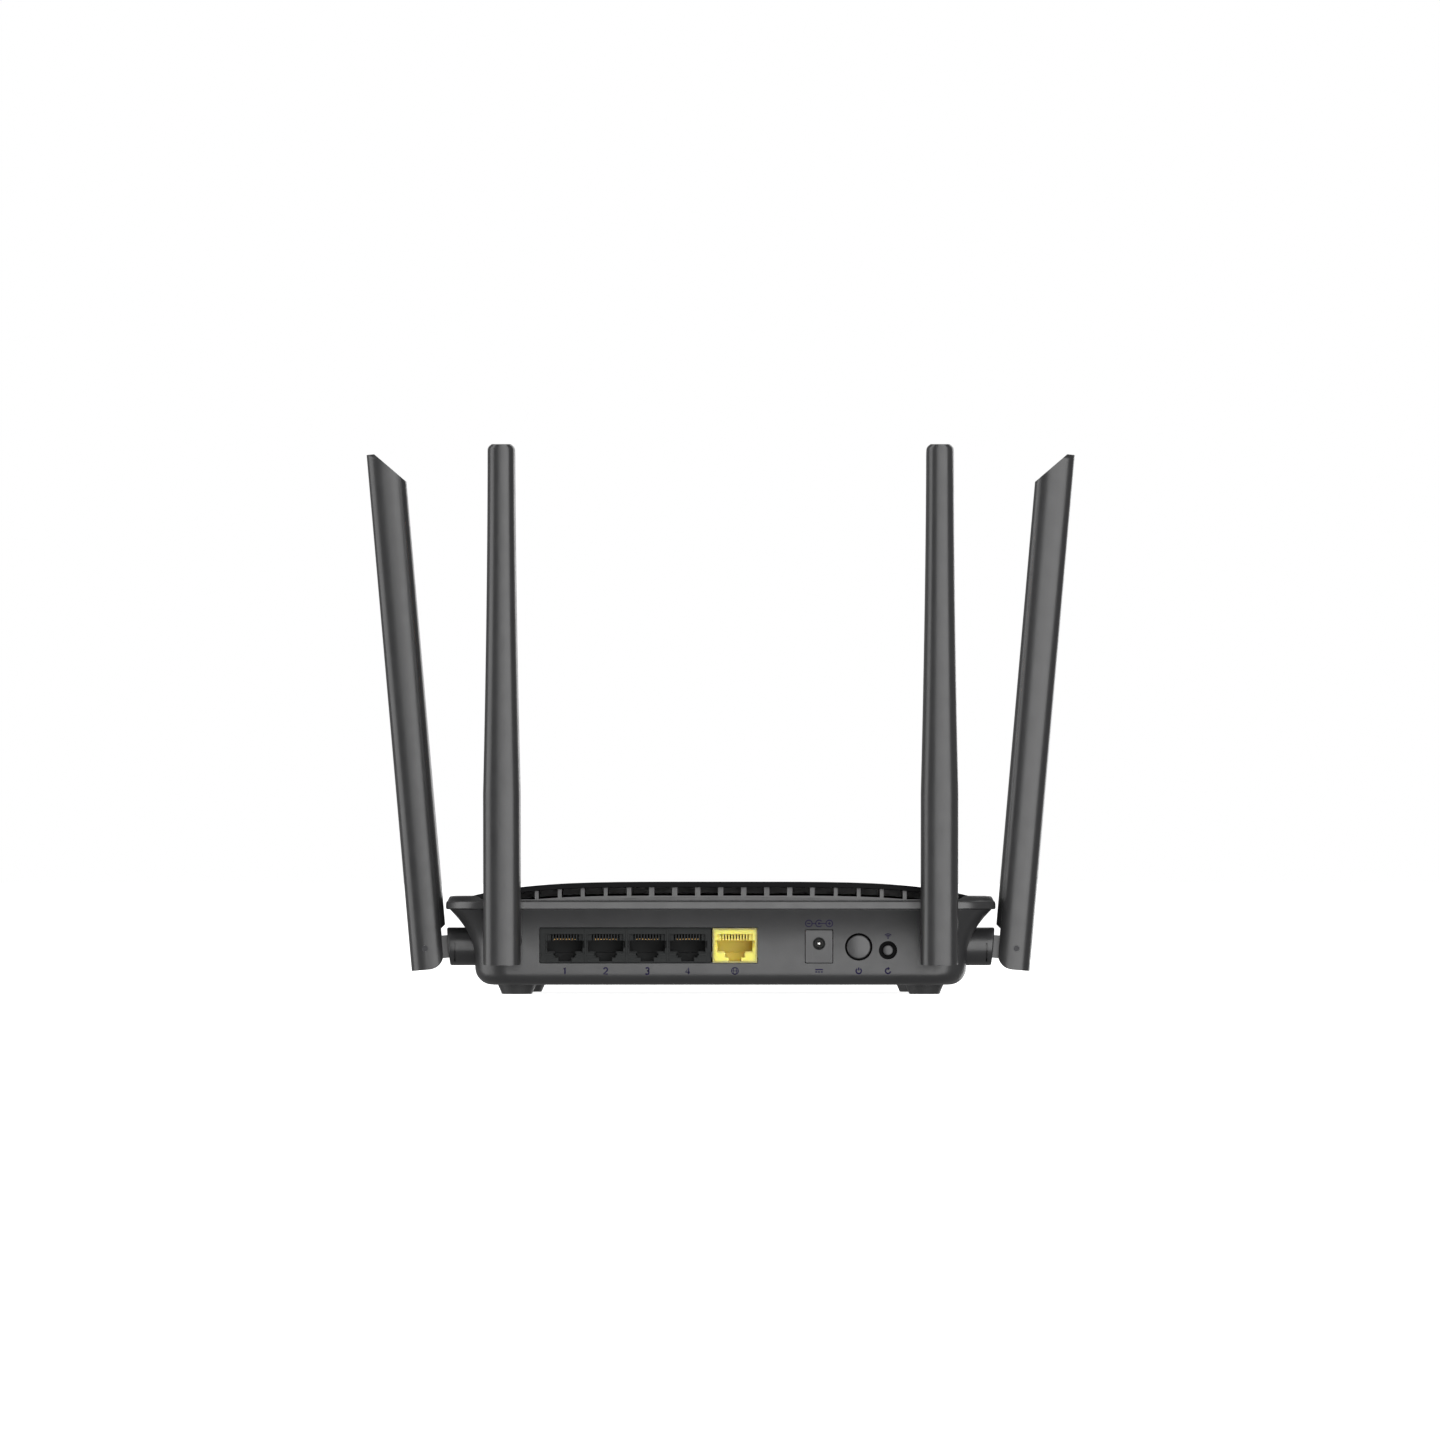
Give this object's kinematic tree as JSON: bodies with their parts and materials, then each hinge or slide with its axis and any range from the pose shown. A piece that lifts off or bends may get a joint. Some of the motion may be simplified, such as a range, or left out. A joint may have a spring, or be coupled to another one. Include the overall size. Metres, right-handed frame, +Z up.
{
  "type": "wireless router",
  "caption": "Desktop wireless router: flared case with a crowned black top, a rear row of network sockets and buttons, and folding, swivelling blade antennas.",
  "frame": {"origin": "middle of the whole object's box, on the plane the feet stand on", "axes": "+X to the right as seen from behind, +Y towards the indicator side (the ports face -Y), +Z up"},
  "size_m": [0.2426, 0.1596, 0.1868],
  "materials": {
    "case_plastic": "fine-textured satin dark grey",
    "plate_plastic": "satin black",
    "antenna_plastic": "satin dark grey",
    "window_plastic": "smoked",
    "light_guide": "clear",
    "foot_rubber": "matte",
    "screw_steel": "zinc plated",
    "board": "solder mask",
    "socket_black": "semi-matte",
    "socket_yellow": "semi-gloss",
    "contact_gold": "gold plated",
    "inlet_plastic": "satin",
    "inlet_steel": "nickel plated",
    "button_plastic": "satin",
    "switch_plastic": "satin",
    "plunger_plastic": "natural",
    "can_steel": "tin plated",
    "sink_aluminium": "extruded",
    "pad_rubber": "soft",
    "chip_plastic": "moulded",
    "can_aluminium": "sleeved",
    "ferrite": "ferrite",
    "led": "clear",
    "lead_jacket": "thin jacket",
    "pin_steel": "dark plated",
    "copper": "printed copper"
  },
  "bodies": {
    "case": {"base_shell": "case_plastic", "top_shell": "case_plastic", "top_plate": "plate_plastic", "indicator_window": "window_plastic", "light_guide": "light_guide", "feet": "foot_rubber", "case_screws": "screw_steel", "circuit_board": "board", "board_screws": "screw_steel", "lan_socket": "socket_black", "lan_contacts": "contact_gold", "wan_socket": "socket_yellow", "wan_contacts": "contact_gold", "power_inlet": "inlet_plastic", "power_inlet_pin": "inlet_steel", "power_switch": "switch_plastic", "reset_switch": "switch_plastic", "shield_can": "can_steel", "heat_sink": "sink_aluminium", "thermal_pad": "pad_rubber", "processor_chip": "chip_plastic", "memory_chips": "chip_plastic", "transformers": "chip_plastic", "capacitors": "can_aluminium", "inductor": "ferrite", "crystal": "can_steel", "indicator_leds": "led", "coax_leads": "lead_jacket"},
    "power_button": {"power_button": "button_plastic", "power_plunger": "plunger_plastic"},
    "reset_button": {"reset_button": "button_plastic", "reset_plunger": "plunger_plastic"},
    "rear_left_swivel": {"rear_left_stub": "antenna_plastic", "rear_left_retainer": "pin_steel"},
    "rear_left_blade": {"rear_left_blade": "antenna_plastic", "rear_left_cover": "antenna_plastic", "rear_left_hinge_pin": "pin_steel", "rear_left_radiator": "copper"},
    "rear_right_swivel": {"rear_right_stub": "antenna_plastic", "rear_right_retainer": "pin_steel"},
    "rear_right_blade": {"rear_right_blade": "antenna_plastic", "rear_right_cover": "antenna_plastic", "rear_right_hinge_pin": "pin_steel", "rear_right_radiator": "copper"},
    "side_left_swivel": {"side_left_stub": "antenna_plastic", "side_left_retainer": "pin_steel"},
    "side_left_blade": {"side_left_blade": "antenna_plastic", "side_left_cover": "antenna_plastic", "side_left_hinge_pin": "pin_steel", "side_left_radiator": "copper"},
    "side_right_swivel": {"side_right_stub": "antenna_plastic", "side_right_retainer": "pin_steel"},
    "side_right_blade": {"side_right_blade": "antenna_plastic", "side_right_cover": "antenna_plastic", "side_right_hinge_pin": "pin_steel", "side_right_radiator": "copper"}
  },
  "joints": [
    {"name": "rear_left_swivel", "type": "hinge", "parent": "case", "child": "rear_left_swivel", "pos_m": [-0.0744, -0.05177, 0.0184], "axis": [0, 1, 0], "range_deg": [-90, 45]},
    {"name": "rear_left_fold", "type": "hinge", "parent": "rear_left_swivel", "child": "rear_left_blade", "pos_m": [-0.0744, -0.05974, 0.0177], "axis": [1, 0, 0], "range_deg": [0, 85]},
    {"name": "rear_right_swivel", "type": "hinge", "parent": "case", "child": "rear_right_swivel", "pos_m": [0.0744, -0.05177, 0.0184], "axis": [0, 1, 0], "range_deg": [-45, 90]},
    {"name": "rear_right_fold", "type": "hinge", "parent": "rear_right_swivel", "child": "rear_right_blade", "pos_m": [0.0744, -0.05974, 0.0177], "axis": [1, 0, 0], "range_deg": [0, 85]},
    {"name": "side_left_swivel", "type": "hinge", "parent": "case", "child": "side_left_swivel", "pos_m": [-0.0932, -0.02667, 0.0163], "axis": [1, 0, 0], "range_deg": [-90, 90]},
    {"name": "side_left_fold", "type": "hinge", "parent": "side_left_swivel", "child": "side_left_blade", "pos_m": [-0.10117, -0.02667, 0.0156], "axis": [0, -1, 0], "range_deg": [0, 85]},
    {"name": "side_right_swivel", "type": "hinge", "parent": "case", "child": "side_right_swivel", "pos_m": [0.0932, -0.02667, 0.0163], "axis": [-1, 0, 0], "range_deg": [-90, 90]},
    {"name": "side_right_fold", "type": "hinge", "parent": "side_right_swivel", "child": "side_right_blade", "pos_m": [0.10117, -0.02667, 0.0156], "axis": [0, 1, 0], "range_deg": [0, 85]},
    {"name": "power_press", "type": "slide", "parent": "case", "child": "power_button", "axis": [0, 1, 0], "range_m": [0, 0.002], "stiffness_N_per_m": 400, "springref_m": -0.0005},
    {"name": "reset_press", "type": "slide", "parent": "case", "child": "reset_button", "axis": [0, 1, 0], "range_m": [0, 0.0006], "stiffness_N_per_m": 800, "springref_m": -0.0003}
  ]
}
